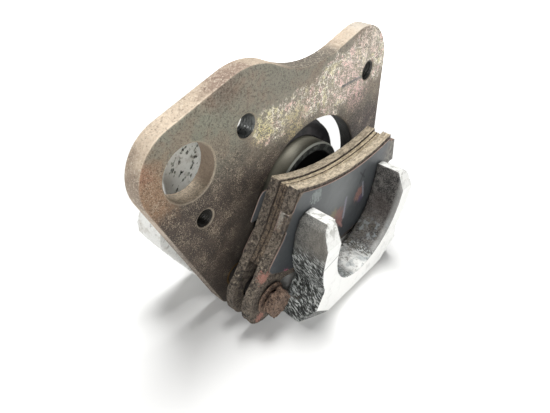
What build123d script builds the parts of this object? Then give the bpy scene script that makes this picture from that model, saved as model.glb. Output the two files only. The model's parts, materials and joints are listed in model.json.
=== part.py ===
from build123d import *
import os
from math import sqrt

# Single-piston floating brake caliper on a flat steel carrier plate.
# Frame: +Z up, +Y from the pads towards the mounting face, +X along the plate.
# Origin: centre of the middle threaded hole, on the plate's mounting face.
# All sizes are millimetres. Outlines are drawn in the XZ plane.

# ---- carrier plate ----
PLATE_T = 8.0                  # plate thickness, front face at y = -8
BIG_THREAD_R = 5.0             # M10 holes, major radius
SMALL_THREAD_R = 4.0           # M8 hole, major radius
HOLE_CHAMFER = 0.5             # front mouths only; the mounting face has sharp edges
EAR_HOLE = (89.2, 5.9)
SMALL_HOLE = (-21.4, -33.0)
CLEAR_HOLE = (-27.7, -10.1)
CLEAR_HOLE_R = 11.5
PLATE_EDGE_R = 0.9             # rolled edge round the front face
BASE_Z = -95.0                 # underside of the bridge, which the object stands on
LEG_Z = -93.0                  # ends of the plate's legs

# ---- caliper axis and guide pins ----
AXIS_X = 50.0
AXIS_Z = -51.5
PIN_DX = 52.5                  # guide pins either side of the piston axis
PIN_Z = -76.0
WINDOW_R = 41.9                # round top of the window between the legs
WINDOW_Z = -51.9               # centre of that round top
WINDOW_HALF = 43.2             # half width of the window where the bridge passes
WINDOW_SPREAD_Z = -66.0        # where the window reaches that width

# ---- piston, seal and boot ----
PISTON_R = 27.5
PISTON_FRONT = -7.5
PISTON_BACK = 29.0
PISTON_WALL = 5.0
PISTON_CUP_DEPTH = 27.0
BORE_CLEAR = 0.08
BORE_BACK = 40.0
SEAL_Y = (9.0, 12.0)
SEAL_OUT = 30.4
BOOT_SKIRT_R = 35.6
BOOT_SKIRT_BACK = 3.5          # how far the skirt reaches back over the barrel's nose
BOOT_ROOM = 1.6                # pocket in the casting round the skirt
RING_WIRE_R = 0.6

# ---- housing ----
BARREL_R = 34.5
BARREL_FRONT = 4.2
BARREL_BACK = 48.0
LUG_FRONT = 8.0
LUG_BACK = 24.0
LUG_R = {"left": 13.0, "right": 14.0}
BRIDGE_HALF = 41.5
BRIDGE_T = 14.0
FINGER_BACK = -30.0
FINGER_FRONT = -47.5
FINGER_R = 41.0                # outer radius of the two-finger yoke
FINGER_GAP_R = 29.0            # radius of the yoke's cut-out
FINGER_TOP = -36.0
FINGER_TIP_HALF = 35.0         # half width across the finger tips
SHOULDER_UP = 13.0             # the yoke's round stretch, above and below the axis
SHOULDER_DOWN = 20.0
FOOT_SIDE = 9.0                # straight side of the yoke's feet
TIP_BEVEL = (5.2, 9.5)         # bevel at the finger tips: back along Y, down the front
LOW_BEVEL = (1.6, 3.0)         # the same at the bridge's lower front edge
CORNER_DIR = (0.34, -0.84, -0.43)   # facing of the yoke's cut lower corners
CORNER_AT = (33.0, 15.0)       # a point on that cut: out from the axis, up from the base
CORNER_BACK = 2.9              # how far behind that point the cut stops
BARREL_CHAMFER = 6.0
FOOT_TOP = -62.0               # top of the casting's middle foot
FOOT_HALF = 35.0
BLEED_BOSS_R = 8.0
BOOT_POCKET_R = 9.6
BOOT_POCKET_BACK = 13.0
BOOT_POST = 0.4                # wall of the post that carries the guide boot, past the sleeve
PORT_R = 5.0
PORT_DEPTH = 12.0
PORT_FEED = 1.5                # where each fluid passage leaves its port, from the port's bottom
PASSAGE_R = 1.5
WING_BACK = 13.5               # thin web behind the big clearance hole
INLET = (-21.5, -48.5)         # hydraulic inlet boss
INLET_R = 12.0
BLEED = (15.5, -27.0)          # bleed screw boss
BLEED_BACK = 36.0
BLEED_R = 4.0
BLEED_HEX_AF = 10.0
BLEED_NIPPLE = (3.0, 15.0)     # radius, and reach past the boss
BLEED_BORE_R = 1.0
BLEED_CAP = (5.2, 3.8)         # outer and inner radius

# ---- pads, from back to front ----
INNER_BACK = -14.0
BACKING_T = 5.0
FRICTION_T = 2.2
PAD_GAP = 0.3
SHIM_T = 0.9
SHIM_INSET = 0.8               # shim inside the lining's outline
SHIM_CORNER_R = 3.0
TAB_Z = {"left": (-33.0, -41.5), "right": (-26.5, -41.0)}   # folded tabs of the outer shim
TAB_T = {"left": 1.2, "right": 2.8}
WING_TAB_Z = (-29.5, -43.0)    # flat side tab of the inner shim
WING_TAB_OUT = 2.9             # how far it stands past the backing plate
TAB_FOLD = 4.0                 # how far the outer shim's tabs reach back over the backing plate
TAB_ROOT = 3.0                 # width of the sheet that carries each of them
EAR_R = 13.5
EAR_LOW = (-1.0, -3.3, 12.3)   # second round of the ear: outwards, down and radius, from the pin
EAR_HOLE_R = 5.8

# ---- guide pins ----
SLEEVE_R = 5.5
BOLT_R = 4.0
HEAD_AF = 15.0
HEAD_T = 6.5
WASHER_R = 8.4
WASHER_T = 1.6
BUSH_R = 6.7
RUN_CLEAR = 0.05               # sleeve in bush
THREAD_CLEAR = 0.03            # plain bores that stand for the pin and bleed threads
GUIDE_BOOT_R = (9.5, 8.2)      # body in the pocket, and lip in front of it
GUIDE_BOOT_Y = (4.6, 6.0)      # front of the lip, front of the body
SPRING_T = 0.8
SPRING_RISE = 1.9

INNER_FRONT = INNER_BACK - BACKING_T
OUTER_FRICTION_BACK = INNER_FRONT - FRICTION_T - PAD_GAP
OUTER_BACKING_BACK = OUTER_FRICTION_BACK - FRICTION_T
OUTER_FRONT = OUTER_BACKING_BACK - BACKING_T
SLEEVE_FRONT = OUTER_FRONT - PAD_GAP
PIN_X = {"left": AXIS_X - PIN_DX, "right": AXIS_X + PIN_DX}


def slab(profile, y_front, y_back):
    """Extrude an XZ outline between two y values."""
    return extrude(Plane.XZ.offset(-y_back) * profile, amount=y_back - y_front)


def rod(x, z, radius, y_front, y_back):
    """Cylinder along Y."""
    return slab(Pos(x, z) * Circle(radius), y_front, y_back)


def tube(x, z, outer, inner, y_front, y_back):
    """Ring along Y."""
    return slab(Pos(x, z) * (Circle(outer) - Circle(inner)), y_front, y_back)


def cone_cut(x, z, radius):
    """45 degree chamfer cutter for a hole's mouth on the plate's front face."""
    mouth = Plane((x, -PLATE_T, z), z_dir=(0, 1, 0))
    wide = radius + HOLE_CHAMFER
    return mouth * Pos(0, 0, HOLE_CHAMFER / 2) * Cone(wide, radius, HOLE_CHAMFER)


def rounded(corners):
    """Closed outline from (x, z, radius) corners."""
    face = make_face(Polyline([(x, z) for x, z, _ in corners], close=True))
    for x, z, radius in corners:
        if radius:
            corner = face.vertices().sort_by_distance((x, z, 0))[0]
            face = fillet(corner, radius)
    return face


def both_halves(half):
    """A sketch and its mirror image about the piston axis."""
    return half + mirror(half, about=Plane((AXIS_X, 0, 0), z_dir=(1, 0, 0)))


def plate_outline():
    """Carrier outline: slanted left side, valley, ear and two legs."""
    return rounded([
        (-9.6, LEG_Z, 8.0),
        (-55.6, 0.7, 20.0),
        (2.9, 25.1, 33.0),
        (37.5, 12.6, 61.0),
        (99.1, 37.2, 24.0),
        (119.4, -56.0, 25.0),
        (110.5, LEG_Z, 8.0),
    ])


def window_outline():
    """Gap between the legs: round about the piston, a little wider at the bridge, open below."""
    below = LEG_Z - 10
    left = [(AXIS_X - WINDOW_R, WINDOW_Z), (AXIS_X - WINDOW_HALF, WINDOW_SPREAD_Z),
            (AXIS_X - WINDOW_HALF, below), (AXIS_X, below), (AXIS_X, WINDOW_Z)]
    legs = both_halves(make_face(Polyline(left, close=True)))
    return legs + Pos(AXIS_X, WINDOW_Z) * Circle(WINDOW_R)


def carrier_plate():
    plate = slab(plate_outline() - window_outline(), -PLATE_T, 0)
    rim = plate.faces().sort_by(Axis.Y)[0].outer_wire().edges()
    plate = fillet(rim, PLATE_EDGE_R)
    holes = [((0, 0), BIG_THREAD_R), (EAR_HOLE, BIG_THREAD_R),
             (SMALL_HOLE, SMALL_THREAD_R), (CLEAR_HOLE, CLEAR_HOLE_R)]
    for (x, z), radius in holes:
        plate -= rod(x, z, radius, -PLATE_T - 1, 1)
        plate -= cone_cut(x, z, radius)
    for x in PIN_X.values():
        plate -= rod(x, PIN_Z, BUSH_R, -PLATE_T - 1, 1)
    return plate


def guide_bush(side):
    """Plain bush in a plate leg, flush with both of the plate's faces."""
    return tube(PIN_X[side], PIN_Z, BUSH_R, SLEEVE_R + RUN_CLEAR, -PLATE_T, 0)


def yoke_outline():
    """Two fingers round a U-shaped cut-out, spreading to the bridge's feet."""
    side = AXIS_X - BRIDGE_HALF
    tip = AXIS_X - FINGER_TIP_HALF
    upper = (AXIS_X - sqrt(FINGER_R ** 2 - SHOULDER_UP ** 2), AXIS_Z + SHOULDER_UP)
    lower = (AXIS_X - sqrt(FINGER_R ** 2 - SHOULDER_DOWN ** 2), AXIS_Z - SHOULDER_DOWN)
    foot = (side, BASE_Z + FOOT_SIDE)
    left = [
        Line((tip, FINGER_TOP), upper),
        ThreePointArc(upper, (AXIS_X - FINGER_R, AXIS_Z), lower),
        Line(lower, foot),
        Line(foot, (side, BASE_Z)),
    ]
    axis = Plane((AXIS_X, 0, 0), z_dir=(1, 0, 0))
    right = [mirror(edge, about=axis) for edge in left]
    top = Line((tip, FINGER_TOP), (2 * AXIS_X - tip, FINGER_TOP))
    bottom = Line((side, BASE_Z), (2 * AXIS_X - side, BASE_Z))
    body = make_face(Curve() + left + right + [top, bottom])
    gap = Pos(AXIS_X, AXIS_Z) * Circle(FINGER_GAP_R)
    gap += Pos(AXIS_X, AXIS_Z + 20) * Rectangle(2 * FINGER_GAP_R, 40)
    return body - gap


def yoke():
    """Front yoke: bevelled finger tips, lower front edge and lower front corners."""
    block = slab(yoke_outline(), FINGER_FRONT, FINGER_BACK)
    for edge_z, down, (back, height) in ((FINGER_TOP, -1, TIP_BEVEL), (BASE_Z, 1, LOW_BEVEL)):
        block -= front_bevel(edge_z, down, back, height)
    out, up = CORNER_AT
    for sign in (-1, 1):
        edge = Vector(AXIS_X + sign * out, FINGER_FRONT, BASE_Z + up)
        corner = Plane(edge, z_dir=(sign * CORNER_DIR[0], *CORNER_DIR[1:]))
        block -= corner * Pos(0, 0, CORNER_BACK + 15) * Box(60, 60, 30)
    return block


def front_bevel(edge_z, inward, back, height):
    """Wedge that bevels the yoke's front edge at edge_z; inward is the way into the metal."""
    beyond = edge_z - inward
    inside = edge_z + inward * height
    front = FINGER_FRONT
    cut = Polyline((front + back, beyond), (front - 1, beyond), (front - 1, inside),
                   (front, inside), (front + back, edge_z), close=True)
    return extrude(Plane.YZ * make_face(cut), amount=2 * AXIS_X)


def rear_profile():
    """Outline of the thick casting behind the plate: pin lugs and inlet boss."""
    lugs = {side: Pos(x, PIN_Z) * Circle(LUG_R[side]) for side, x in PIN_X.items()}
    left = make_hull((lugs["left"] + Pos(*INLET) * Circle(INLET_R)
                      + Pos(8, -60) * Circle(20)).edges())
    right = make_hull((lugs["right"] + Pos(80, -68) * Circle(10)).edges())
    foot = Pos(AXIS_X, (BASE_Z + FOOT_TOP) / 2) * Rectangle(2 * FOOT_HALF, FOOT_TOP - BASE_Z)
    return left + right + foot


def wing_profile():
    """Thin web from the barrel to behind the plate's big clearance hole."""
    return make_hull((Pos(-16.0, -20.5) * Circle(13.0) + Pos(-14, -52) * Circle(10)
                      + Pos(30, -34) * Circle(14)).edges())


def caliper_housing():
    barrel = rod(AXIS_X, AXIS_Z, BARREL_R, BARREL_FRONT, BARREL_BACK)
    barrel = chamfer(barrel.edges().sort_by(Axis.Y)[-1], BARREL_CHAMFER)
    body = barrel + slab(rear_profile(), LUG_FRONT, LUG_BACK)
    body += slab(wing_profile(), LUG_FRONT, WING_BACK)
    body += rod(*BLEED, BLEED_BOSS_R, LUG_FRONT, BLEED_BACK)
    bridge_back = BARREL_BACK - 10
    bridge_front = FINGER_FRONT + 10
    body += Pos(AXIS_X, (bridge_front + bridge_back) / 2, BASE_Z + BRIDGE_T / 2) * Box(
        2 * BRIDGE_HALF, bridge_back - bridge_front, BRIDGE_T)
    body += yoke()
    body -= rod(AXIS_X, AXIS_Z, BOOT_SKIRT_R + BOOT_ROOM, -1, BARREL_FRONT)
    body -= tube(AXIS_X, AXIS_Z, BOOT_SKIRT_R + BOOT_ROOM, BARREL_R, BARREL_FRONT - 1, LUG_FRONT)
    body -= rod(AXIS_X, AXIS_Z, PISTON_R + BORE_CLEAR, 0, BORE_BACK)
    body -= rod(AXIS_X, AXIS_Z, SEAL_OUT + 0.1, SEAL_Y[0] - 0.1, SEAL_Y[1] + 0.1)
    for x in PIN_X.values():
        body -= rod(x, PIN_Z, BOLT_R + THREAD_CLEAR, 0, LUG_BACK + 1)
        body -= rod(x, PIN_Z, BOOT_POCKET_R, 0, BOOT_POCKET_BACK)
        body += tube(x, PIN_Z, SLEEVE_R + BOOT_POST, BOLT_R + THREAD_CLEAR, LUG_FRONT, BOOT_POCKET_BACK)
    body -= rod(*INLET, PORT_R, LUG_BACK - PORT_DEPTH, LUG_BACK + 1)
    body -= rod(*BLEED, BLEED_R + THREAD_CLEAR, BLEED_BACK - PORT_DEPTH, BLEED_BACK + 1)
    for (x, z), back in ((INLET, LUG_BACK), (BLEED, BLEED_BACK)):
        start = Vector(x, back - PORT_DEPTH + PORT_FEED, z)
        way = Vector(AXIS_X, start.Y + 2, AXIS_Z) - start
        reach = way.length - PISTON_R + 1
        body -= Plane(start, z_dir=way) * Pos(0, 0, reach / 2) * Cylinder(PASSAGE_R, reach)
    return body


def piston():
    """Cup with its open end towards the pads."""
    cup = rod(AXIS_X, AXIS_Z, PISTON_R, PISTON_FRONT, PISTON_BACK)
    cup -= rod(AXIS_X, AXIS_Z, PISTON_R - PISTON_WALL, PISTON_FRONT - 1,
               PISTON_FRONT + PISTON_CUP_DEPTH)
    rims = cup.edges().filter_by(GeomType.CIRCLE).group_by(Axis.Y)
    return chamfer(rims[0] + rims[-1], 0.8)


def piston_seal():
    return tube(AXIS_X, AXIS_Z, SEAL_OUT, PISTON_R + 0.02, *SEAL_Y)


def dust_boot():
    """Rubber boot: skirt over the barrel's nose and a dished web up to the piston."""
    inner = PISTON_R + 0.3
    seat = BARREL_R + 0.05
    nose = BARREL_FRONT - 0.1
    profile = Polyline(
        (BOOT_SKIRT_R, nose + BOOT_SKIRT_BACK), (BOOT_SKIRT_R, nose - 1.6), (BOOT_SKIRT_R - 0.8, nose - 2.3),
        (inner + 1.6, nose - 1.2), (inner, nose - 1.0), (inner, nose), (seat, nose),
        (seat, nose + BOOT_SKIRT_BACK), close=True)
    return about_axis(make_face(profile))


def boot_ring():
    """Wire ring that holds the boot's skirt on the barrel's nose."""
    return about_axis(Pos(BOOT_SKIRT_R + RING_WIRE_R + 0.05, BARREL_FRONT + 2.4) * Circle(RING_WIRE_R))


def about_axis(section):
    """Revolve an (r, y) section about the piston axis."""
    ring = revolve(section, Axis.Y, 360)
    return Pos(AXIS_X, 0, AXIS_Z) * ring


def backing_outline():
    """Backing plate: concave top edge, spreading sides and an ear at each side."""
    left = PIN_X["left"]
    side = make_face(Polyline((9.3, -22.4), (0.6, -46.0), (-13.6, -69.0), (left, PIN_Z),
                              (6.5, PIN_Z), (8.0, -60.0), (AXIS_X, -60.0), (AXIS_X, -22.4),
                              close=True))
    out, down, low_radius = EAR_LOW
    ear = Pos(left, PIN_Z) * Circle(EAR_R) + Pos(left + out, PIN_Z + down) * Circle(low_radius)
    ear -= Pos(6.5 + 20, PIN_Z) * Rectangle(40, 60)
    body = both_halves(side + ear)
    body += Pos(AXIS_X, -66.0) * Rectangle(87.0, 24.0)
    body -= Pos(AXIS_X, -28.6 + 136.0) * Circle(136.0)
    under = Pos(AXIS_X, -77.5 + 170.0) * (Circle(200.0) - Circle(170.0))
    under &= Pos(AXIS_X, -80.0) * Rectangle(87.0, 30.0)
    return body - under


def lining_outline(inset=0.0):
    """Friction block and shim: as the backing plate, but without the ears."""
    top = make_face(Polyline(
        (10.6 + inset, -22.4), (2.0 + inset, -45.4), (-6.4 + inset, -58.0), (-3.0 + inset, -62.0),
        (AXIS_X, -62.0), (AXIS_X, -22.4), close=True))
    whole = both_halves(top)
    whole += Pos(AXIS_X, -70.0) * Rectangle(106.0 - 2 * inset, 18.0)
    whole -= Pos(AXIS_X, -29.6 - inset + 136.0) * Circle(136.0)
    whole &= Pos(AXIS_X, -75.0 + inset + 114.5) * Circle(114.5)
    return whole


def pad_backing(y_back):
    plate = slab(backing_outline(), y_back - BACKING_T, y_back)
    for x in PIN_X.values():
        plate -= rod(x, PIN_Z, EAR_HOLE_R, y_back - BACKING_T - 1, y_back + 1)
    return plate


def friction(y_back):
    return slab(lining_outline(), y_back - FRICTION_T, y_back)


def shim(y_back):
    """Thin sheet inside the lining's outline, with rounded lower corners."""
    outline = lining_outline(SHIM_INSET)
    low_corners = outline.vertices().sort_by(Axis.Y)[:4]
    return slab(fillet(low_corners, SHIM_CORNER_R), y_back - SHIM_T, y_back)


def side_x(z):
    """Half width of the backing plate at a height on its upper straight sides."""
    return AXIS_X - 9.3 + (-22.4 - z) * (9.3 - 0.6) / (46.0 - 22.4)


def outer_shim():
    """Shim with a tab folded back over the backing plate at each side."""
    plate = shim(OUTER_FRONT)
    for side, sign in (("left", -1), ("right", 1)):
        ends = [(side_x(z) + 0.05, z) for z in TAB_Z[side]]
        outer = [(AXIS_X + sign * (x + TAB_T[side]), z) for x, z in reversed(ends)]
        edge = [(AXIS_X + sign * x, z) for x, z in ends]
        root = [(AXIS_X + sign * (x - TAB_ROOT), z) for x, z in ends]
        fold = make_face(Polyline(edge + outer, close=True))
        plate += slab(fold, OUTER_FRONT - SHIM_T, OUTER_FRONT + TAB_FOLD)
        plate += slab(make_face(Polyline(root + outer, close=True)),
                      OUTER_FRONT - SHIM_T, OUTER_FRONT)
    return plate


def inner_shim():
    """Shim on the piston side, with a flat tab past the backing plate's left edge."""
    top, bottom = WING_TAB_Z
    high = AXIS_X - side_x(top)
    low = AXIS_X - side_x(bottom)
    out = WING_TAB_OUT
    tab = Polyline((high + 4, top), (high - out + 1.8, top), (high - out, top - 1.8),
                   (low - out, bottom + 1), (low - out + 0.6, bottom), (low + 6, bottom),
                   close=True)
    back = INNER_BACK + SHIM_T
    return shim(back) + slab(make_face(tab), INNER_BACK, back)


def pin_sleeve(side):
    return tube(PIN_X[side], PIN_Z, SLEEVE_R, BOLT_R + 0.1, SLEEVE_FRONT, LUG_FRONT)


def pin_washer(side):
    return tube(PIN_X[side], PIN_Z, WASHER_R, BOLT_R + 0.1, SLEEVE_FRONT - WASHER_T, SLEEVE_FRONT)


def pin_bolt(side):
    """Hexagon-head bolt through the sleeve, screwed into the housing's lug."""
    x = PIN_X[side]
    seat = SLEEVE_FRONT - WASHER_T
    head = slab(Pos(x, PIN_Z) * RegularPolygon(HEAD_AF / 2, 6, major_radius=False),
                seat - HEAD_T, seat)
    return head + rod(x, PIN_Z, BOLT_R, seat, LUG_BACK - 1)


def guide_boot(side):
    """Rubber wiper between the sleeve and the lug's pocket."""
    x = PIN_X[side]
    body_r, lip_r = GUIDE_BOOT_R
    lip_front, body_front = GUIDE_BOOT_Y
    body = tube(x, PIN_Z, body_r, 7.0, body_front, BOOT_POCKET_BACK)
    return body + tube(x, PIN_Z, lip_r, SLEEVE_R + 0.5, lip_front, body_front + 0.2)


def bleed_screw():
    """Hollow bleed screw: threaded stem, hexagon and barbed nipple."""
    x, z = BLEED
    nipple_r, reach = BLEED_NIPPLE
    seat = BLEED_BACK + 0.3
    stem = rod(x, z, BLEED_R - 0.02, BLEED_BACK - PORT_DEPTH + 3, BLEED_BACK + 1)
    hexagon = slab(Pos(x, z) * RegularPolygon(BLEED_HEX_AF / 2, 6, major_radius=False), seat, BLEED_BACK + 6)
    nipple = rod(x, z, nipple_r, BLEED_BACK + 6, BLEED_BACK + reach)
    barb = Plane((x, BLEED_BACK + 12, z), z_dir=(0, 1, 0)) * Cone(nipple_r + 0.7, nipple_r - 0.4, 3.0)
    bore = rod(x, z, BLEED_BORE_R, BLEED_BACK - 5, BLEED_BACK + reach + 1)
    return stem + hexagon + nipple + barb - bore


def bleed_cap():
    """Rubber cap over the nipple."""
    x, z = BLEED
    outer, inner = BLEED_CAP
    cap = rod(x, z, outer, BLEED_BACK + 7, BLEED_BACK + 18)
    return cap - rod(x, z, inner, BLEED_BACK + 6, BLEED_BACK + 15.4)


def pad_spring():
    """Bent leaf on the bridge, under both pads."""
    top = BASE_Z + BRIDGE_T
    rise = top + SPRING_RISE
    low = [(26, top), (40, top), (46, rise), (54, rise), (60, top), (74, top)]
    high = [(x, z + SPRING_T) for x, z in reversed(low)]
    strip = make_face(Polyline(low + high, close=True))
    return slab(strip, OUTER_FRONT + 2, INNER_BACK + 3)


def build():
    parts = {
        "carrier_plate": carrier_plate(),
        "caliper_housing": caliper_housing(),
        "piston": piston(),
        "piston_seal": piston_seal(),
        "dust_boot": dust_boot(),
        "boot_ring": boot_ring(),
        "inner_pad_backing": pad_backing(INNER_BACK),
        "inner_pad_friction": friction(INNER_FRONT),
        "inner_pad_shim": inner_shim(),
        "outer_pad_backing": pad_backing(OUTER_BACKING_BACK),
        "outer_pad_friction": friction(OUTER_FRICTION_BACK),
        "outer_pad_shim": outer_shim(),
        "bleed_screw": bleed_screw(),
        "bleed_cap": bleed_cap(),
        "pad_spring": pad_spring(),
    }
    for side in PIN_X:
        parts["guide_bush_" + side] = guide_bush(side)
        parts["pin_sleeve_" + side] = pin_sleeve(side)
        parts["pin_washer_" + side] = pin_washer(side)
        parts["pin_bolt_" + side] = pin_bolt(side)
        parts["guide_boot_" + side] = guide_boot(side)
    return parts


os.makedirs("parts", exist_ok=True)
for name, shape in build().items():
    export_step(shape, f"parts/{name}.step")
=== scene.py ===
import json
import math

import bmesh
import bpy
from mathutils import Matrix, Vector, noise

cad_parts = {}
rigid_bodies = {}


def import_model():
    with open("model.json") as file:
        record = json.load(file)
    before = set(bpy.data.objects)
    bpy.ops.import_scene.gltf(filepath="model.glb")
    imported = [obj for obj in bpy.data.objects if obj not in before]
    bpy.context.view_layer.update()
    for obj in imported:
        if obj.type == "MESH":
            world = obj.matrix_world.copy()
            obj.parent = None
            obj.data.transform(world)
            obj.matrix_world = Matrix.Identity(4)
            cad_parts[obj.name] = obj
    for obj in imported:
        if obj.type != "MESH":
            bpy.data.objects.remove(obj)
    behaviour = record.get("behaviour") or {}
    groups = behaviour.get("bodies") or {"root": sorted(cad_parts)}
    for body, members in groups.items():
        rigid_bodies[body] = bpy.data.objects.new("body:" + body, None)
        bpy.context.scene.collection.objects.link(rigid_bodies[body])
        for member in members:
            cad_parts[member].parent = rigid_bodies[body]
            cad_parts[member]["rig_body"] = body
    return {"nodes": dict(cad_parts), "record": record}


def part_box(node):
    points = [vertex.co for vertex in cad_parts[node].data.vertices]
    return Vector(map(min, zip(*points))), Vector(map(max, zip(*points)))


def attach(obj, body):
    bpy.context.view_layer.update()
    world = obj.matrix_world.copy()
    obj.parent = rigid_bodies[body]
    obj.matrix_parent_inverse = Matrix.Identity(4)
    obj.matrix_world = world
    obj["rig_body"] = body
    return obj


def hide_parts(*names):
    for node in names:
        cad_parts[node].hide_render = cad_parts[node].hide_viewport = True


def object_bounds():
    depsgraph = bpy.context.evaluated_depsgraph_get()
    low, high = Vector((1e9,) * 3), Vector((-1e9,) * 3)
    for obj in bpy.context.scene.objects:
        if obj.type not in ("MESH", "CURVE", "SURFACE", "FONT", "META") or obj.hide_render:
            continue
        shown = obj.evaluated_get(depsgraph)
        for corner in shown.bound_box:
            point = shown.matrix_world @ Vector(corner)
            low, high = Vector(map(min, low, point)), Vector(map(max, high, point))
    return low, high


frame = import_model()
CAD_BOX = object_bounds()
NODES = frame["nodes"]
MM = 0.001
SIDES = ("left", "right")
PADS = ("inner_pad", "outer_pad")
FLOOR_Z = CAD_BOX[0].z
MOUNTS = {m["name"]: m for m in frame["record"]["mounts"]}

# Places from the frame, in millimetres.
PLATE_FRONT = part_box("carrier_plate")[0].y / MM
PLATE_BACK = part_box("carrier_plate")[1].y / MM
BACKING_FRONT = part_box("outer_pad_backing")[0].y / MM
SHIM_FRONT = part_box("outer_pad_shim")[0].y / MM
YOKE_FRONT = CAD_BOX[0].y / MM
PISTON_LO, PISTON_HI = (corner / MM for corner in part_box("piston"))
PISTON_AXIS = (PISTON_LO + PISTON_HI) / 2

# The part of the casting in front of this y is the yoke.
YOKE_BACK = -28


def hole(mount):
    """A round hole's x and z, and its radius, in millimetres."""
    x, _, z = (v / MM for v in MOUNTS[mount]["pos_m"])
    return x, z, MOUNTS[mount]["dims"]["r_mm"]


# ---------------------------------------------------------------- camera, floor and light
def camera():
    """Looks down on the object from the front left, slightly rolled, as fitted to the photo."""
    place = Vector((-103.744, -104.935, 63.642)) * MM
    azimuth, elevation, roll = (math.radians(a) for a in (-52.454, 35.123, 5.747))
    back = Vector((math.sin(azimuth) * math.cos(elevation),
                   -math.cos(azimuth) * math.cos(elevation), math.sin(elevation)))
    level = Vector((math.cos(azimuth), math.sin(azimuth), 0))
    right = math.cos(roll) * level + math.sin(roll) * back.cross(level)
    data = bpy.data.cameras.new("camera")
    data.lens = 26.18
    data.sensor_width = 36
    data.clip_start = 0.01
    eye = bpy.data.objects.new("camera", data)
    turned = Matrix((right, back.cross(right), back)).transposed().to_4x4()
    eye.matrix_world = Matrix.Translation(place) @ turned
    bpy.context.scene.collection.objects.link(eye)
    bpy.context.scene.camera = eye


def softbox(name, place, aim, size, watts):
    """A square area light, size metres wide, that points from place to aim."""
    data = bpy.data.lights.new(name, "AREA")
    data.size = size
    data.energy = watts
    lamp = bpy.data.objects.new(name, data)
    lamp.location = place
    lamp.rotation_euler = (aim - Vector(place)).to_track_quat("-Z", "Y").to_euler()
    bpy.context.scene.collection.objects.link(lamp)


def studio():
    """Pale floor, a key light from above and a little behind, a fill from the front left and a weak,
    low one from the front right. The floor's far part glows, so that it stays white."""
    world = bpy.data.worlds.new("studio")
    bpy.context.scene.world = world
    world.use_nodes = True
    sky = world.node_tree.nodes["Background"]
    sky.inputs["Color"].default_value = (1, 1, 1, 1)
    sky.inputs["Strength"].default_value = 0.06
    bpy.context.scene.view_settings.view_transform = "Standard"
    aim = Vector((0.04, -0.01, -0.04))
    softbox("key_above", (0.14, 0.14, 0.93), aim, 0.42, 12.5)
    softbox("fill_left_front", (-0.72, -0.62, 0.43), aim, 0.35, 6.6)
    softbox("fill_right_front", (0.60, -0.75, 0.14), aim, 0.5, 1.6)
    mesh = bpy.data.meshes.new("floor")
    reach = 6.0
    mesh.from_pydata([(-reach, -reach, FLOOR_Z), (reach, -reach, FLOOR_Z),
                      (reach, reach, FLOOR_Z), (-reach, reach, FLOOR_Z)], [], [(0, 1, 2, 3)])
    floor = bpy.data.objects.new("floor", mesh)
    bpy.context.scene.collection.objects.link(floor)
    p = Paint("floor")
    p.base((0.82, 0.82, 0.81))
    unlit = p.near((aim.x / MM, aim.y / MM, FLOOR_Z / MM), 520, 0.6)
    p.feed(p.math("SUBTRACT", 1.0, unlit), p.shader.inputs["Emission Strength"])
    p.shader.inputs["Emission Color"].default_value = (1, 1, 1, 1)
    mesh.materials.append(p.finish(0.9))


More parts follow.
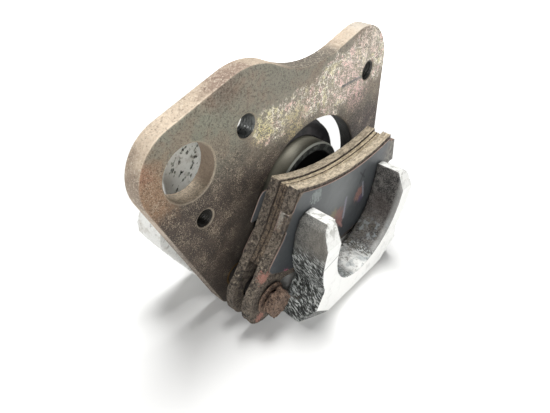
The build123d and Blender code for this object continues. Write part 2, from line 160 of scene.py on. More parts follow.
# ---------------------------------------------------------------- material building
class Paint:
    """One procedural material, built up in layers. Lengths are in millimetres, in the row frame."""

    def __init__(self, name):
        self.material = bpy.data.materials.new(name)
        self.material.use_nodes = True
        self.tree = self.material.node_tree
        self.shader = self.tree.nodes["Principled BSDF"]
        self.where = self.node("ShaderNodeTexCoord")
        scaled = self.node("ShaderNodeVectorMath", operation="SCALE")
        scaled.inputs["Scale"].default_value = 1 / MM
        self.link(self.where.outputs["Object"], scaled.inputs[0])
        self.place = scaled.outputs[0]
        self.colour = None

    def node(self, kind, **settings):
        made = self.tree.nodes.new(kind)
        for key, value in settings.items():
            setattr(made, key, value)
        return made

    def link(self, source, target):
        self.tree.links.new(source, target)

    def feed(self, value, socket):
        """A number, colour or output into a socket."""
        if isinstance(value, bpy.types.NodeSocket):
            self.link(value, socket)
        elif isinstance(value, (tuple, list)) and len(socket.default_value) == 4:
            socket.default_value = (*value, 1)
        else:
            socket.default_value = value

    def math(self, operation, a, b=0.0):
        made = self.node("ShaderNodeMath", operation=operation)
        self.feed(a, made.inputs[0])
        self.feed(b, made.inputs[1])
        return made.outputs[0]

    def times(self, *values):
        result = values[0]
        for value in values[1:]:
            result = self.math("MULTIPLY", result, value)
        return result

    def plus(self, *values):
        result = values[0]
        for value in values[1:]:
            result = self.math("ADD", result, value)
        return result

    def vector(self, operation, a, b=(0, 0, 0)):
        made = self.node("ShaderNodeVectorMath", operation=operation)
        self.feed(a, made.inputs[0])
        self.feed(b, made.inputs[1])
        return made

    def noise(self, size, detail=4.0, seed=0.0, longer=(1, 1, 1), turn=(0, 0, 0), warp=0.0):
        """Soft noise from 0 to 1, with features of about that size; longer stretches them
        along the axes, which turn (degrees) rotates, and warp bends them."""
        spot = self.node("ShaderNodeMapping", vector_type="TEXTURE")
        spot.inputs["Location"].default_value = (seed * 17.3, seed * 9.1, seed * 5.7)
        spot.inputs["Rotation"].default_value = [math.radians(a) for a in turn]
        spot.inputs["Scale"].default_value = longer
        self.link(self.place, spot.inputs["Vector"])
        made = self.node("ShaderNodeTexNoise")
        made.inputs["Scale"].default_value = 1 / size
        made.inputs["Detail"].default_value = detail
        made.inputs["Roughness"].default_value = 0.6
        made.inputs["Distortion"].default_value = warp
        self.link(spot.outputs[0], made.inputs["Vector"])
        return made.outputs["Fac"]

    def step(self, value, low, high):
        """0 at low, 1 at high, smooth between; low may be the larger."""
        made = self.node("ShaderNodeMapRange", interpolation_type="SMOOTHSTEP")
        self.feed(value, made.inputs["Value"])
        made.inputs["From Min"].default_value = min(low, high)
        made.inputs["From Max"].default_value = max(low, high)
        made.inputs["To Min"].default_value = 0.0 if low < high else 1.0
        made.inputs["To Max"].default_value = 1.0 if low < high else 0.0
        return made.outputs["Result"]

    def along(self, axis):
        """The x, y or z coordinate."""
        made = self.node("ShaderNodeSeparateXYZ")
        self.link(self.place, made.inputs[0])
        return made.outputs[axis]

    def facing(self, axis):
        """The surface normal's x, y or z part."""
        made = self.node("ShaderNodeSeparateXYZ")
        self.link(self.where.outputs["Normal"], made.inputs[0])
        return made.outputs[axis]

    def radius(self, x, z):
        """Distance from an axis along Y."""
        dx = self.math("SUBTRACT", self.along("X"), x)
        dz = self.math("SUBTRACT", self.along("Z"), z)
        return self.math("SQRT", self.plus(self.times(dx, dx), self.times(dz, dz)))

    def frayed(self, distance, reach, soft, ragged, seed):
        """1 near and 0 beyond reach, with an edge broken up by noise."""
        if ragged:
            wander = self.math("SUBTRACT", self.noise(reach * 0.3, 5, seed), 0.5)
            distance = self.plus(distance, self.times(wander, reach * ragged * 2))
        return self.step(distance, reach, reach * (1 - soft))

    def near(self, point, reach, soft=0.6, ragged=0.0, seed=3.0):
        """1 at a point and 0 beyond reach."""
        distance = self.vector("DISTANCE", self.place, point).outputs["Value"]
        return self.frayed(distance, reach, soft, ragged, seed)

    def stroke(self, start, end, reach, soft=0.6, ragged=0.0, seed=3.0):
        """1 along a straight line and 0 beyond reach from it."""
        line = Vector(end) - Vector(start)
        from_start = self.vector("SUBTRACT", self.place, start).outputs[0]
        share = self.vector("DOT_PRODUCT", from_start, line / line.length_squared).outputs["Value"]
        share = self.math("MINIMUM", self.math("MAXIMUM", share, 0.0), 1.0)
        foot = self.vector("SCALE", tuple(line))
        self.feed(share, foot.inputs["Scale"])
        distance = self.vector("DISTANCE", from_start, foot.outputs[0]).outputs["Value"]
        return self.frayed(distance, reach, soft, ragged, seed)

    def mix(self, share, low, high):
        """Colour low where share is 0, and high where it is 1."""
        made = self.node("ShaderNodeMix", data_type="RGBA")
        self.feed(share, made.inputs["Factor"])
        self.feed(low, made.inputs[6])
        self.feed(high, made.inputs[7])
        return made.outputs[2]

    def base(self, colour):
        self.colour = colour

    def lay(self, mask, colour, amount=1.0):
        """Put a layer of colour over what is there, where mask is 1."""
        share = mask if amount == 1.0 else self.times(mask, amount)
        self.colour = self.mix(share, self.colour, colour)

    def finish(self, roughness, height=None, bump=0.3, metallic=0.0):
        """Wire colour, roughness and a height in millimetres into the shader."""
        self.feed(self.colour, self.shader.inputs["Base Color"])
        self.feed(roughness, self.shader.inputs["Roughness"])
        self.feed(metallic, self.shader.inputs["Metallic"])
        if height is not None:
            made = self.node("ShaderNodeBump")
            made.inputs["Strength"].default_value = bump
            made.inputs["Distance"].default_value = MM
            self.feed(height, made.inputs["Height"])
            self.link(made.outputs["Normal"], self.shader.inputs["Normal"])
        return self.material


def srgb(red, green, blue):
    """A colour given as 0 to 255 display values."""
    return tuple(((v / 255 + 0.055) / 1.055) ** 2.4 if v > 10 else v / 255 / 12.92
                 for v in (red, green, blue))


# ---------------------------------------------------------------- materials
def plate_steel():
    """Worn zinc-yellow steel: brown below, speckled green above, with a painted highlight band and painted
    gold and pink glints above.
    """
    p = Paint("plate_steel")
    mottle = p.noise(9, 6, 1)
    grain = p.noise(0.42, 3, 2)
    texture = p.plus(p.times(grain, 0.55), p.times(p.noise(1.1, 4, 3), 0.45))
    light = p.step(texture, 0.52, 0.58)
    dark = p.step(texture, 0.475, 0.42)
    upper = p.step(p.plus(p.along("Z"), p.times(mottle, 14)), -22, 16)

    def spot(x, z):
        return x, PLATE_FRONT, z

    # Painted highlight: a bright band of light across the upper front, weaker on the left.
    left_painted_highlight = p.times(p.stroke(spot(12, -4), spot(56, 4), 14, 0.9, 0.5, 13), 0.62)
    painted_highlight = p.math("MAXIMUM", left_painted_highlight, p.stroke(spot(58, 3), spot(96, 15), 21, 0.8, 0.5, 27))

    # Ground colours: brown below, greenish above, with patches given as place, reach, tint and seed.
    p.base(p.mix(p.step(mottle, 0.36, 0.66), srgb(64, 56, 50), srgb(88, 77, 68)))
    p.lay(upper, p.mix(mottle, srgb(116, 112, 99), srgb(148, 144, 129)))
    for place, reach, tint, seed in ((spot(-22, 6), 26, (130, 131, 115), 4),
                                     (spot(26, 18), 30, (132, 129, 116), 5),
                                     (spot(70, 20), 24, (134, 125, 113), 8),
                                     (spot(-12, 17), 12, (112, 94, 82), 10)):
        p.lay(p.near(place, reach, 0.9, 0.5, seed), srgb(*tint), 0.75)
    p.lay(p.near(spot(101, -26), 24, 0.8, 0.4, 9), srgb(78, 66, 62), 0.9)
    p.lay(p.times(upper, p.step(p.noise(15, 5, 40), 0.47, 0.62)), srgb(144, 118, 100), 0.4)
    p.lay(p.near(spot(-47, -12), 21, 0.8, 0.6, 11), srgb(150, 119, 92), 0.85)
    p.lay(p.near(spot(-47, -4), 7, 0.9, 0.9, 12), srgb(150, 104, 82), 0.5)
    # The painted highlight band itself.
    p.lay(painted_highlight, srgb(176, 166, 149), 0.75)

    # Fine specks: dark everywhere, pale above, cream below, and bright painted glints in the painted
    # highlight band.
    p.lay(dark, srgb(44, 38, 34), 0.5)
    p.lay(p.times(light, upper), srgb(150, 145, 128), 0.45)
    specks = p.step(p.plus(p.times(grain, 0.7), p.times(p.noise(6, 4, 26), 0.3)), 0.545, 0.60)
    p.lay(p.times(specks, p.step(p.along("Z"), 8, -16)), srgb(176, 160, 139), 0.75)
    # Painted glints: bright specks of reflected light, strongest inside the painted highlight band.
    clumped = p.plus(p.times(grain, 0.4), p.times(p.noise(0.9, 5, 20), 0.3), p.times(p.noise(3, 4, 29), 0.3))
    painted_glint_specks = p.step(clumped, 0.49, 0.55)
    hue = p.noise(4, 5, 21)
    painted_glint_colour = p.mix(p.step(hue, 0.42, 0.5), srgb(246, 214, 204), srgb(250, 244, 230))
    painted_glint_colour = p.mix(p.step(hue, 0.52, 0.6), painted_glint_colour, srgb(226, 218, 178))
    p.lay(p.times(painted_glint_specks, p.step(p.plus(painted_highlight, p.noise(2.6, 4, 28)), 0.70, 1.0)), painted_glint_colour, 0.95)
    # Patches of painted glints, tinted gold and pink.
    for place, reach, tint, seed in ((spot(10, -4), 9, (214, 204, 140), 14),
                                     (spot(30, -6), 12, (188, 174, 128), 15),
                                     (spot(70, 6), 17, (236, 206, 198), 16),
                                     (spot(82, -4), 14, (222, 184, 178), 18),
                                     (spot(84, 22), 14, (232, 214, 200), 19)):
        p.lay(p.times(p.near(place, reach, 0.8, 0.6, seed), painted_glint_specks), srgb(*tint), 0.85)

    # A scratch, dirt and painted shade towards the pads, darkness at the legs and rust round the large hole.
    p.lay(p.stroke(spot(66, 2), spot(85, 4), 1.2, 0.8, 1.2, 22), srgb(74, 84, 88), 0.75)
    # Darker towards the pads: dirt and painted shade next to the pads.
    grime_and_shade = p.times(p.step(p.along("X"), -14, 6), p.step(p.along("Z"), -20, -46))
    p.lay(grime_and_shade, p.mix(grain, srgb(52, 48, 43), srgb(96, 88, 79)), 0.75)
    p.lay(p.step(p.along("Z"), -50, -84), p.mix(grain, srgb(36, 31, 28), srgb(72, 63, 57)), 0.7)
    x, z, r = hole("carrier_clearance_hole")
    from_large = p.radius(x, z)
    ring = p.step(p.plus(from_large, p.times(p.noise(3, 5, 32), 5)), r + 3, r + 0.5)
    p.lay(ring, p.mix(grain, srgb(70, 56, 46), srgb(120, 100, 84)), 0.55)

    rim = plate_rim(p, grain, light)
    plate_hole_walls(p, rim, texture)
    right_wall = p.times(rim, p.step(from_large, r + 0.5, r + 0.2), p.step(p.facing("X"), -0.55, -0.8))
    p.lay(right_wall, srgb(128, 112, 96), 0.8)
    rough = p.plus(0.46, p.times(mottle, 0.25), p.times(painted_glint_specks, painted_highlight, -0.18))
    height = p.plus(p.times(texture, 0.45), p.times(dark, -0.12))
    return p.finish(rough, height, 0.8, 0.25)


def plate_rim(p, grain, light):
    """Paint the plate's edge: pale above, dark brown below, with painted highlights at the top left and upper
    right, painted shade in the valley, and dark in the window.
    """
    rim = p.step(p.math("ABSOLUTE", p.facing("Y")), 0.8, 0.45)
    low = p.step(p.along("Z"), -22, -46)

    def patch(x, z, reach, soft, ragged, seed):
        return p.times(rim, p.near((x, PLATE_FRONT, z), reach, soft, ragged, seed))

    p.lay(rim, p.mix(p.noise(5, 6, 15), srgb(156, 138, 121), srgb(226, 208, 184)))
    # Painted shade on the edge in the valley.
    p.lay(patch(40, 13, 26, 0.5, 0.3, 23), srgb(88, 84, 76), 0.9)
    # Painted highlight on the top-left edge.
    p.lay(patch(-40, 16, 20, 0.8, 0.4, 30), srgb(236, 219, 196), 0.5)
    # Painted highlight on the upper right edge.
    p.lay(patch(92, 34, 30, 0.7, 0.5, 31), srgb(220, 217, 208), 0.6)
    p.lay(p.times(rim, low), p.mix(grain, srgb(44, 37, 32), srgb(110, 93, 76)), 0.95)
    p.lay(patch(-10, 22, 16, 0.7, 0.6, 24), srgb(126, 102, 90), 0.7)
    p.lay(patch(-54, -16, 26, 0.7, 0.6, 25), srgb(118, 100, 85), 0.75)
    p.lay(p.times(rim, p.step(p.noise(1.0, 6, 16), 0.53, 0.68)), srgb(96, 80, 67), 0.5)
    p.lay(p.times(rim, light), srgb(216, 205, 186), 0.5)
    from_piston = p.radius(PISTON_AXIS.x, PISTON_AXIS.z)
    window = p.times(p.step(from_piston, 45, 43), p.step(p.along("Z"), -6, -8))
    p.lay(p.times(rim, window), p.mix(grain, srgb(32, 32, 31), srgb(58, 58, 55)))
    return rim


def plate_hole_walls(p, rim, texture):
    """Paint the plate's round holes: a tint on each wall and a worn, pale ring at its mouth."""
    for name, tint in (("clearance_hole", (176, 161, 140)), ("thread_middle", (60, 62, 60)),
                       ("thread_ear", (58, 56, 52)), ("thread_small", (52, 48, 44))):
        x, z, r = hole(f"carrier_{name}")
        shade = [v * 0.7 for v in tint]
        wall = p.step(p.radius(x, z), r + 0.9, r + 0.6)
        p.lay(p.times(rim, wall), p.mix(p.step(texture, 0.4, 0.6), srgb(*shade), srgb(*tint)))
        off = p.math("ABSOLUTE", p.plus(p.radius(x, z), -r - 0.45))
        p.lay(p.step(off, 0.4, 0.15), srgb(160, 149, 130), 0.5)


def cast_aluminium():
    """Pale casting, machined white at the front, with black dirt and painted shade on the yoke's sides, and
    painted light on the web behind the large hole.
    """
    p = Paint("cast_aluminium")
    broad = p.noise(12, 5, 1)
    fine = p.noise(0.7, 4, 2)
    p.base(p.mix(broad, srgb(212, 212, 208), srgb(232, 232, 228)))
    p.lay(p.step(fine, 0.56, 0.64), srgb(160, 160, 155), 0.3)
    casting_behind(p)
    yoke = p.step(p.along("Y"), YOKE_BACK + 1, YOKE_BACK - 1)
    side = finger_sides(p, yoke)
    yoke_inside(p, yoke)
    tip = p.times(yoke, p.step(p.along("Z"), -46, -38), p.step(p.noise(2.5, 6, 12), 0.48, 0.62),
                  p.math("SUBTRACT", 1.0, side))
    p.lay(tip, srgb(150, 149, 142), 0.7)
    machined_front(p)
    height = p.plus(p.times(p.noise(1.1, 4, 13), 0.35), p.times(fine, 0.15))
    return p.finish(p.plus(0.45, p.times(broad, 0.2)), height, 0.6, 0.1)


def casting_behind(p):
    """Flecks and stains behind the plate; the web that shows through the large hole is painted nearly white,
    as painted light where the plate shades it.
    """
    behind = p.step(p.along("Y"), 1, 5)
    # Painted light: the web is painted nearly white where the plate shades it.
    web = p.times(behind, p.near((-15, 8, -22), 19, 0.4))
    p.lay(web, srgb(252, 253, 247), 1.0)
    flecks = p.noise(2.0, 3, 3, (1, 1, 1.6), (0, 35, 0))
    p.lay(p.times(behind, p.step(flecks, 0.60, 0.66)), srgb(140, 137, 130), 0.6)
    p.lay(p.times(web, p.step(flecks, 0.55, 0.62)), srgb(168, 172, 158), 0.8)
    p.lay(p.times(web, p.step(flecks, 0.61, 0.67)), srgb(24, 26, 25), 0.95)
    p.lay(p.times(behind, p.step(p.noise(5, 5, 4), 0.52, 0.66)), srgb(168, 158, 144), 0.35)


def finger_sides(p, yoke):
    """Dark grain, dirt and painted shade on the fingers' sides, and slanting black and pale streaks lower
    down.
    """
    side = p.times(yoke, p.step(p.math("ABSOLUTE", p.facing("X")), 0.12, 0.45))
    mottled = p.plus(p.times(p.noise(3.5, 6, 5), 0.35), p.times(p.noise(0.55, 4, 14), 0.65))
    # The sides' dark mottled colour is dirt and painted shade.
    p.lay(side, p.mix(p.step(mottled, 0.40, 0.60), srgb(36, 36, 33), srgb(100, 98, 92)), 0.95)
    p.lay(p.times(side, p.near((9, -44, -44), 13, 0.9, 0.6, 15)), srgb(128, 122, 112), 0.4)
    slanting = p.noise(0.8, 4, 6, (1, 3.4, 1), (36, 0, 0), 0.3)
    streak = p.plus(p.times(slanting, 0.75), p.times(p.noise(4, 4, 19), 0.25))
    low = p.step(p.plus(p.along("Z"), p.times(p.noise(7, 5, 7), 14)), -39, -51)
    streaked = p.mix(p.step(streak, 0.465, 0.505), srgb(24, 26, 26), srgb(98, 101, 98))
    p.lay(p.times(side, low), p.mix(p.step(streak, 0.52, 0.57), streaked, srgb(190, 193, 190)))
    return side


def yoke_inside(p, yoke):
    """Soil on the right finger's inner face, and dirt and blue-grey stains in the saddle."""
    inner = p.times(yoke, p.step(p.along("X"), 60, 66), p.step(p.facing("X"), -0.15, -0.5))
    soil = p.plus(p.times(p.noise(5, 7, 8), 0.4), p.times(p.noise(0.7, 5, 16), 0.6))
    p.lay(inner, p.mix(p.step(soil, 0.40, 0.62), srgb(34, 33, 33), srgb(112, 109, 105)))
    p.lay(p.times(inner, p.near((78, -38, -60), 14, 0.8, 0.5, 9)), srgb(66, 57, 53), 0.55)
    p.lay(p.times(inner, p.step(p.along("Y"), YOKE_FRONT + 4, YOKE_FRONT + 1.5)), srgb(186, 186, 182), 0.5)
    saddle = p.times(yoke, p.step(p.facing("Z"), 0.25, 0.7), p.step(p.along("Z"), -58, -66))
    deeper = p.step(p.along("Y"), -46, -32)
    dirt = p.plus(p.times(p.noise(1.0, 5, 10), 0.5), p.times(p.noise(4, 5, 21), 0.5), p.times(deeper, 0.08))
    p.lay(p.times(saddle, p.step(dirt, 0.50, 0.68)), srgb(84, 78, 68), 0.8)
    p.lay(p.times(saddle, p.step(p.noise(4, 4, 11), 0.5, 0.62)), srgb(146, 154, 156), 0.5)


def machined_front(p):
    """White machined face at the very front, faintly mottled, with one crease."""
    at_front = p.step(p.along("Y"), YOKE_FRONT + 1, YOKE_FRONT + 0.3)
    machined = p.times(at_front, p.step(p.facing("Y"), -0.9, -0.97))
    crease = p.stroke((8, YOKE_FRONT, -56), (24, YOKE_FRONT, -52), 0.5, 0.7, 0.5, 18)
    p.lay(machined, srgb(246, 246, 243), 0.9)
    p.lay(p.times(machined, p.step(p.noise(6, 6, 17), 0.52, 0.72)), srgb(206, 206, 202), 0.5)
    p.lay(p.times(machined, crease), srgb(120, 120, 116), 0.6)


def seams(p):
    """Dark, wavy lines where the layers of the pads meet."""
    lines = []
    wavy = p.plus(p.along("Y"), p.times(p.noise(3, 4, 51), 1.0), -0.5)
    for pad in PADS:
        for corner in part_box(f"{pad}_friction"):
            off = p.math("ABSOLUTE", p.math("SUBTRACT", wavy, corner.y / MM))
            lines.append(p.step(off, 0.2, 0.06))
    return p.plus(*lines)


def rust(name, dark, light, accent, size, seed, bump=0.9, top=None, marks=()):
    """Layered corrosion: two browns, a brighter accent and black pits; top is (dark, light)
    for upward faces, which are dusty and finer, and marks are (point, reach, tint) dabs."""
    p = Paint(name)
    broad = p.noise(size, 6, seed, warp=0.6)
    fine = p.noise(0.8, 4, seed + 6)
    p.base(p.mix(p.step(broad, 0.36, 0.64), dark, light))
    p.lay(p.step(p.noise(size * 0.5, 5, seed + 1), 0.55, 0.65), accent, 0.7)
    pit = p.step(p.noise(size * 0.35, 4, seed + 2), 0.57, 0.66)
    p.lay(pit, srgb(34, 28, 25), 0.75)
    if top:
        dusty = p.mix(p.step(p.noise(1.3, 5, seed + 4, (3, 1, 1)), 0.4, 0.6), *top)
        above = p.step(p.plus(p.facing("Z"), p.times(p.noise(1.6, 5, seed + 9), 0.9)), 1.05, 1.4)
        p.lay(above, dusty, 0.9)
        p.lay(p.step(fine, 0.55, 0.65), srgb(66, 56, 47), 0.45)
        p.lay(p.step(fine, 0.44, 0.37), p.mix(above, accent, top[1]), 0.35)
        broken = p.step(p.noise(1.2, 4, seed + 8), 0.36, 0.46)
        fainter_above = p.math("SUBTRACT", 1.0, p.times(above, 0.4))
        p.lay(p.times(seams(p), broken, fainter_above), srgb(50, 40, 31), 0.85)
    for point, reach, tint in marks:
        p.lay(p.near(point, reach, 0.5, 1.4, reach), srgb(*tint), 0.8)
    height = p.plus(p.times(p.noise(size * 0.4, 5, seed + 3), 0.8), p.times(pit, -0.5), p.times(fine, 0.2))
    return p.finish(p.plus(0.62, p.times(broad, 0.25)), height, bump, 0.08)


def shim_coating():
    """Smooth blue-grey coating with plain dabs and strokes of wear, and rust at the tabs' roots."""
    p = Paint("shim_coating")

    def spot(x, z):
        return x, SHIM_FRONT, z

    p.base(p.mix(p.step(p.along("Z"), -70, -26), srgb(48, 51, 53), srgb(84, 87, 88)))
    p.lay(p.noise(18, 3, 1), srgb(66, 71, 76), 0.5)
    p.lay(p.near(spot(44, -40), 26, 1.0, 0.2, 5), srgb(132, 135, 134), 0.6)
    p.lay(p.near(spot(96, -30), 16, 0.9, 0.6, 6), srgb(112, 102, 90), 0.6)
    p.lay(p.step(p.noise(1.1, 5, 7), 0.6, 0.7), srgb(120, 122, 122), 0.2)

    # Flaky dabs and thin strokes on the front, given as place or ends, reach and tint.
    flaky = p.step(p.noise(1.4, 4, 2), 0.3, 0.5)
    for place, reach, tint in ((spot(23.3, -32.1), 4.4, (128, 135, 132)),
                               (spot(47, -56), 7.0, (132, 98, 90)),
                               (spot(42.5, -51.5), 3.4, (128, 120, 96)),
                               (spot(50, -60), 3.6, (122, 88, 84)),
                               (spot(66, -50), 5.2, (132, 100, 92)),
                               (spot(69, -53.5), 3.0, (78, 70, 92)),
                               (spot(6.3, -67.5), 3.2, (184, 92, 120))):
        p.lay(p.times(p.near(place, reach, 0.35, 1.2, reach), flaky), srgb(*tint), 0.9)
    for start, end, reach, tint in ((spot(52.5, -46), spot(53.5, -59), 1.2, (138, 136, 146)),
                                    (spot(50, -60), spot(54, -65), 1.0, (150, 110, 104)),
                                    (spot(67.5, -43), spot(71.5, -53), 1.0, (136, 138, 146)),
                                    (spot(66.5, -35), spot(64, -42), 0.7, (36, 38, 40)),
                                    (spot(62, -35), spot(68, -40), 0.6, (40, 42, 44))):
        p.lay(p.stroke(start, end, reach, 0.6, 1.2, reach * 9), srgb(*tint), 0.75)
    scaly = p.mix(p.step(p.noise(2.2, 6, 12), 0.38, 0.62), srgb(66, 62, 56), srgb(128, 124, 113))
    right_end = p.step(p.plus(p.along("X"), p.times(p.noise(5, 5, 13), 10)), 91, 98)
    p.lay(right_end, scaly, 0.9)
    rim = p.step(p.math("ABSOLUTE", p.facing("Y")), 0.7, 0.4)
    p.lay(rim, p.mix(p.noise(3, 4, 8), srgb(98, 82, 74), srgb(160, 138, 128)))
    p.lay(left_tab_root(p), p.mix(p.step(p.noise(2, 6, 9), 0.38, 0.62), srgb(50, 44, 39), srgb(112, 99, 86)))
    bare = p.stroke((5.0, SHIM_FRONT + 3.2, -34.6), (3.6, SHIM_FRONT + 3.2, -39.6), 2.2, 0.6, 0.8, 10)
    p.lay(bare, srgb(150, 147, 138), 0.85)
    rough = p.plus(0.3, p.times(p.noise(5, 4, 3), 0.25))
    return p.finish(rough, p.times(p.noise(2.5, 3, 4), 0.12), 0.3, 0.15)


def left_tab_root(p):
    """1 where the pad's rust covers the outer shim's left tab: beyond the clean front face, whose
    left side is the line x = side + slope * z and whose corner is cut along z - x = corner."""
    side, slope, corner = 19.6, 0.374, -38.4
    past_side = p.step(p.plus(p.along("X"), p.times(p.along("Z"), -slope)), side, side - 0.4)
    past_corner = p.step(p.plus(p.along("Z"), p.times(p.along("X"), -1.0)), corner, corner + 0.5)
    outside = p.math("MINIMUM", p.plus(past_side, past_corner), 1.0)
    return p.times(p.step(p.along("X"), 30, 28), p.step(p.along("Z"), -48, -46),
                   p.step(p.along("Y"), -25, -26), outside)


def smooth_metal(name, dark, light, roughness, metallic=0.7):
    """Turned or drawn metal with faint wear."""
    p = Paint(name)
    wear = p.noise(5, 4, 1)
    p.base(p.mix(wear, dark, light))
    p.lay(p.step(p.noise(1.2, 4, 2), 0.60, 0.70), srgb(52, 50, 46), 0.5)
    return p.finish(p.plus(roughness, p.times(wear, 0.18)), p.times(p.noise(0.8, 2, 3), 0.08), 0.3, metallic)


def piston_steel():
    """Olive-grey plated piston: faint marks, a dark front rim with a thin painted highlight on its edge, a
    dark cup.
    """
    p = Paint("piston_steel")
    distance = p.radius(PISTON_AXIS.x, PISTON_AXIS.z)
    wear = p.noise(6, 4, 1)
    p.base(p.mix(wear, srgb(100, 98, 86), srgb(128, 124, 110)))
    p.lay(p.step(p.noise(0.8, 3, 2, (1, 0.2, 1)), 0.52, 0.62), srgb(150, 146, 130), 0.25)
    front = p.step(p.facing("Y"), -0.6, -0.85)
    p.lay(front, p.mix(p.step(p.noise(3, 5, 3, warp=1.0), 0.45, 0.6), srgb(52, 54, 52), srgb(104, 106, 101)))
    # A thin painted highlight on the outer edge of the front chamfer.
    painted_edge_highlight = p.times(p.step(p.facing("Y"), -0.25, -0.5), p.step(p.facing("Y"), -0.92, -0.8))
    p.lay(p.times(painted_edge_highlight, p.step(distance, 26, 26.4)), srgb(176, 178, 168), 0.85)
    p.lay(p.step(distance, 23.6, 22.8), srgb(26, 26, 30), 0.9)
    rough = p.plus(0.3, p.times(wear, 0.2))
    return p.finish(rough, p.times(p.noise(0.7, 2, 4, (1, 0.3, 1)), 0.08), 0.3, 0.4)


def thread_steel(name, light):
    """Bare thread ribs, mottled between the light tint and half of it, with dark spots."""
    p = Paint(name)
    shade = [v * 0.5 for v in light]
    p.base(p.mix(p.noise(2, 4, 1), srgb(*shade), srgb(*light)))
    p.lay(p.step(p.noise(1.4, 4, 2), 0.55, 0.65), srgb(28, 28, 28), 0.7)
    return p.finish(0.32, p.times(p.noise(0.6, 2, 3), 0.1), 0.3, 0.75)


def rubber():
    """Black rubber with a dusty bloom."""
    p = Paint("rubber")
    dust = p.noise(4, 5, 1)
    p.base(p.mix(p.step(dust, 0.45, 0.75), srgb(38, 37, 39), srgb(68, 66, 66)))
    return p.finish(p.plus(0.42, p.times(dust, 0.25)), p.times(p.noise(0.7, 3, 2), 0.15), 0.4)


def materials():
    """One material for each slot that the record names."""
    backing_top = (srgb(166, 153, 132), srgb(218, 203, 177))
    lining_top = (srgb(166, 150, 124), srgb(218, 202, 172))
    pink_marks = (((-7, BACKING_FRONT, -61.5), 3.6, (168, 118, 104)),
                  ((-7.5, BACKING_FRONT, -86), 3.6, (172, 122, 108)))
    return {
        "plate_steel": plate_steel(),
        "cast_aluminium": cast_aluminium(),
        "backing_steel": rust("backing_steel", srgb(44, 38, 33), srgb(114, 103, 91),
                              srgb(146, 135, 118), 2.0, 1, 1.0, backing_top, pink_marks),
        "friction_material": rust("friction_material", srgb(46, 39, 33), srgb(112, 97, 81),
                                  srgb(130, 113, 92), 1.6, 11, 0.9, lining_top),
        "rusty_fastener": rust("rusty_fastener", srgb(58, 44, 38), srgb(140, 116, 98),
                               srgb(172, 146, 124), 1.3, 21, 1.0),
        "sleeve_steel": rust("sleeve_steel", srgb(18, 16, 15), srgb(36, 31, 29),
                             srgb(58, 50, 44), 2.4, 31),
        "shim_steel": shim_coating(),
        "piston_steel": piston_steel(),
        "plated_steel": smooth_metal("plated_steel", srgb(150, 146, 132), srgb(188, 184, 170), 0.3),
        "spring_steel": smooth_metal("spring_steel", srgb(120, 118, 112), srgb(158, 156, 150), 0.3),
        "wire_steel": smooth_metal("wire_steel", srgb(84, 82, 78), srgb(120, 118, 112), 0.35),
        "bush_bronze": smooth_metal("bush_bronze", srgb(112, 88, 54), srgb(156, 126, 82), 0.35),
        "rubber": rubber(),
    }


# ---------------------------------------------------------------- mesh building
def piece(name, mesh, body, slot, *stands_for, paint=None):
    """Add a piece that rides on a body, has its slot's finish unless paint is given, and
    takes the place of the CAD nodes in stands_for."""
    made = bpy.data.objects.new(name, mesh)
    bpy.context.scene.collection.objects.link(made)
    mesh.materials.clear()
    mesh.materials.append(paint or SLOT_PAINT[slot])
    for face in mesh.polygons:
        face.use_smooth = True
    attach(made, body)
    if stands_for:
        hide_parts(*stands_for)


def body_of(node):
    """The name of the body that a CAD node moves with."""
    return NODES[node]["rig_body"]


def remeshed(node, voxel, most_faces=None):
    """A copy of a node's mesh in even small faces, fit for displacement; voxel is in mm."""
    work = bpy.data.objects.new("work", NODES[node].data.copy())
    bpy.context.scene.collection.objects.link(work)
    grid = work.modifiers.new("grid", "REMESH")
    grid.mode = "VOXEL"
    grid.voxel_size = voxel * MM
    if most_faces:
        thin = work.modifiers.new("thin", "DECIMATE")
        bpy.context.view_layer.update()
        quads = len(work.evaluated_get(bpy.context.evaluated_depsgraph_get()).data.polygons)
        thin.ratio = min(1.0, most_faces / max(2 * quads, 1))
    graph = bpy.context.evaluated_depsgraph_get()
    mesh = bpy.data.meshes.new_from_object(work.evaluated_get(graph))
    bpy.data.objects.remove(work)
    return mesh


def soften(mesh, rounds, chosen):
    """Round off the corners of the chosen part of a mesh; chosen(point) says which, in mm."""
    work = bmesh.new()
    work.from_mesh(mesh)
    picked = [v for v in work.verts if chosen(v.co / MM)]
    for _ in range(rounds):
        bmesh.ops.smooth_vert(work, verts=picked, factor=0.5,
                              use_axis_x=True, use_axis_y=True, use_axis_z=True)
    work.to_mesh(mesh)
    work.free()
    mesh.update()
    return mesh


def roughen(mesh, layers, share):
    """Push points in along their normals by layered noise; layers are (size, depth, seed) in mm.

    share(point, normal), from 0 to 1, scales the depth."""
    moved = []
    for vertex in mesh.vertices:
        point, normal = vertex.co / MM, vertex.normal
        depth = 0.0
        for size, reach, seed in layers:
            depth += reach * (0.5 + 0.5 * noise.noise(point / size + Vector((seed, seed * 2, seed * 3))))
        moved.append(vertex.co - normal * depth * share(point, normal) * MM)
    for vertex, place in zip(mesh.vertices, moved):
        vertex.co = place
    mesh.update()
    return mesh


def ring_surface(name, outlines, x, z):
    """Closed surface through equally spaced (r, y) outlines round an axis along Y, in mm."""
    steps, count = len(outlines), len(outlines[0])
    points = []
    for i, outline in enumerate(outlines):
        turn = math.tau * i / steps
        points += [((x + r * math.cos(turn)) * MM, y * MM, (z + r * math.sin(turn)) * MM) for r, y in outline]
    faces = [(i * count + j, i * count + (j + 1) % count,
              (i + 1) % steps * count + (j + 1) % count, (i + 1) % steps * count + j)
             for i in range(steps) for j in range(count)]
    mesh = bpy.data.meshes.new(name)
    mesh.from_pydata(points, [], faces)
    work = bmesh.new()
    work.from_mesh(mesh)
    bmesh.ops.recalc_face_normals(work, faces=work.faces)
    work.to_mesh(mesh)
    work.free()
    return mesh


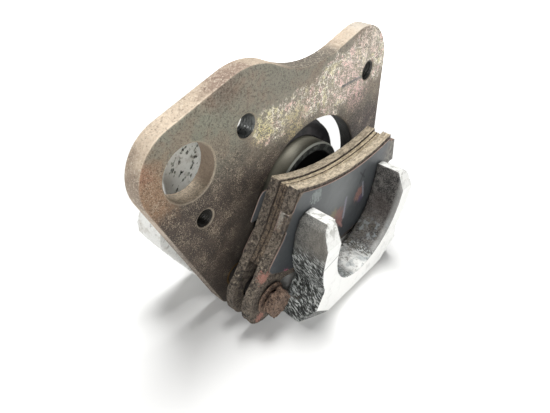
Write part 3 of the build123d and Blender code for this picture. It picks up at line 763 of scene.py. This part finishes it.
# ---------------------------------------------------------------- detailed pieces
def internal_thread(name, mount, pitch, paint):
    """Helical ridges on a threaded hole's wall: a closed sleeve, backed by the metal round it.

    The ridges fade out over the last half millimetre at either end."""
    x, z, major = hole(mount)
    front = PLATE_FRONT + 0.55
    back = PLATE_BACK - 0.1
    steps, rows_per_turn = 72, 14
    rows = int((back - front) / pitch * rows_per_turn)
    depth = 0.6 * pitch
    fade_length = 0.5
    outer = major + 0.06
    outlines = []
    for i in range(steps):
        outline = []
        for j in range(rows + 1):
            y = front + (back - front) * j / rows
            phase = (y / pitch + i / steps) % 1.0
            fade = min(1.0, (y - front) / fade_length, (back - y) / fade_length)
            outline.append((major - fade * depth * (1 - abs(2 * phase - 1)), y))
        outlines.append(outline + [(outer, back), (outer, front)])
    piece(name, ring_surface(name, outlines, x, z), "carrier", "plated_steel", paint=paint)


def housing():
    """The casting: rough behind, less so on the yoke, nearly smooth on front faces and underneath."""
    base = FLOOR_Z / MM + 0.6

    def share(point, normal):
        if normal.y < -0.75 or point.z < base:
            return 0.1
        if point.y < YOKE_BACK:
            return 0.5 if normal.x < -0.3 and point.z < -60 else 0.3
        return 0.8

    mesh = roughen(remeshed("caliper_housing", 0.75, 190_000),
                   ((7, 0.3, 1), (2.4, 0.45, 2), (1.2, 0.3, 3)), share)
    piece("housing_casting", mesh, "housing", "cast_aluminium", "caliper_housing")


def pad_pieces():
    """Both pads' plates and linings, with corroded, crumbling edges and scaly ears."""
    ears_top = -62

    def share(point, normal):
        flat = 0.45 if point.z < ears_top else 0.05
        return flat + (1 - flat) * (1 - abs(normal.y))

    for pad in PADS:
        for layer, slot, depth, seed in (("backing", "backing_steel", 0.5, 21),
                                         ("friction", "friction_material", 0.6, 22)):
            node = f"{pad}_{layer}"
            layers = ((5, depth * 0.6, seed), (1.7, depth, seed + 1), (0.9, depth * 0.5, seed + 2))
            mesh = roughen(remeshed(node, 0.6, 80_000), layers, share)
            piece(f"{node}_worn", mesh, body_of(node), slot, node)


def shims():
    """Pressed sheets whose bent tabs are rounded by wear. The tabs are on the slanting side edges."""
    tab_bottom, tab_top, tab_depth, side_slope = -48, -24, 14, 0.45
    for node in ("outer_pad_shim", "inner_pad_shim"):
        low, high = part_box(node)
        half = (high.x - low.x) / 2 / MM

        def on_tab(point, half=half):
            out = abs(point.x - PISTON_AXIS.x)
            edge = half - tab_depth - (point.z - tab_bottom) * side_slope
            return tab_bottom < point.z < tab_top and out > edge

        mesh = soften(remeshed(node, 0.34, 120_000), 5, on_tab)
        mesh = roughen(mesh, ((6, 0.12, 61), (1.5, 0.08, 62)), lambda point, normal: 1 - abs(normal.y) * 0.7)
        piece(f"{node}_pressed", mesh, body_of(node), "shim_steel", node)


def pins():
    """Rusted, rounded bolt heads and washers, and rough sleeves. Only the exposed length at the
    front of each is rounded and roughened."""
    for side in SIDES:
        for kind, slot, depth, rounds, length in (("pin_bolt", "rusty_fastener", 1.8, 22, 8.5),
                                                  ("pin_washer", "rusty_fastener", 0.4, 3, 12),
                                                  ("pin_sleeve", "sleeve_steel", 0.35, 0, 12)):
            node = f"{kind}_{side}"
            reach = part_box(node)[0].y / MM + length

            def exposed(point, reach=reach):
                return point.y < reach

            mesh = soften(remeshed(node, 0.42), rounds, exposed)
            mesh = roughen(mesh, ((3.2, depth * 0.6, 31), (1.5, depth * 0.5, 32), (0.8, depth * 0.3, 33)),
                           lambda point, normal, exposed=exposed: float(exposed(point)))
            piece(f"{node}_rusted", mesh, body_of(node), slot, node)


def boot():
    """Dust boot: skirt over the barrel's nose, a dished web with one fold, a lip near the piston."""
    low, high = (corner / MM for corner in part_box("dust_boot"))
    skirt = (high.x - low.x) / 2
    inner = (PISTON_HI.x - PISTON_LO.x) / 2 + 0.12
    front, back = low.y, high.y
    seat = skirt - 1.05
    outline = [(skirt, back), (skirt, front + 0.9), (skirt - 0.25, front + 0.35), (skirt - 0.9, front + 0.05),
               (skirt - 1.9, front + 0.25), (skirt - 3.0, front + 1.2), (skirt - 4.2, front + 1.75),
               (skirt - 5.4, front + 1.45), (inner + 1.5, front + 0.5), (inner + 0.7, front + 0.15),
               (inner + 0.15, front + 0.4), (inner, front + 1.0), (inner + 0.1, front + 1.7),
               (inner + 1.0, front + 1.65), (skirt - 5.2, front + 2.2), (seat - 0.6, front + 2.25),
               (seat, front + 2.6), (seat, back)]
    mesh = ring_surface("boot", [outline] * 160, PISTON_AXIS.x, PISTON_AXIS.z)
    piece("dust_boot_folded", mesh, "housing", "rubber", "dust_boot")


camera()
studio()
SLOT_PAINT = materials()
for part in frame["record"]["subparts"]:
    node = NODES[part["node"]]
    node.data.materials.clear()
    node.data.materials.append(SLOT_PAINT[part["material_slot"]])

for hole_name, pitch, paint_name, light in (("middle", 1.5, "thread_steel", (112, 114, 112)),
                                            ("ear", 1.5, "thread_dull", (88, 88, 84)),
                                            ("small", 1.25, "thread_grime", (52, 50, 46))):
    internal_thread(f"thread_{hole_name}", f"carrier_thread_{hole_name}", pitch,
                    thread_steel(paint_name, light))
housing()
pad_pieces()
shims()
pins()
boot()
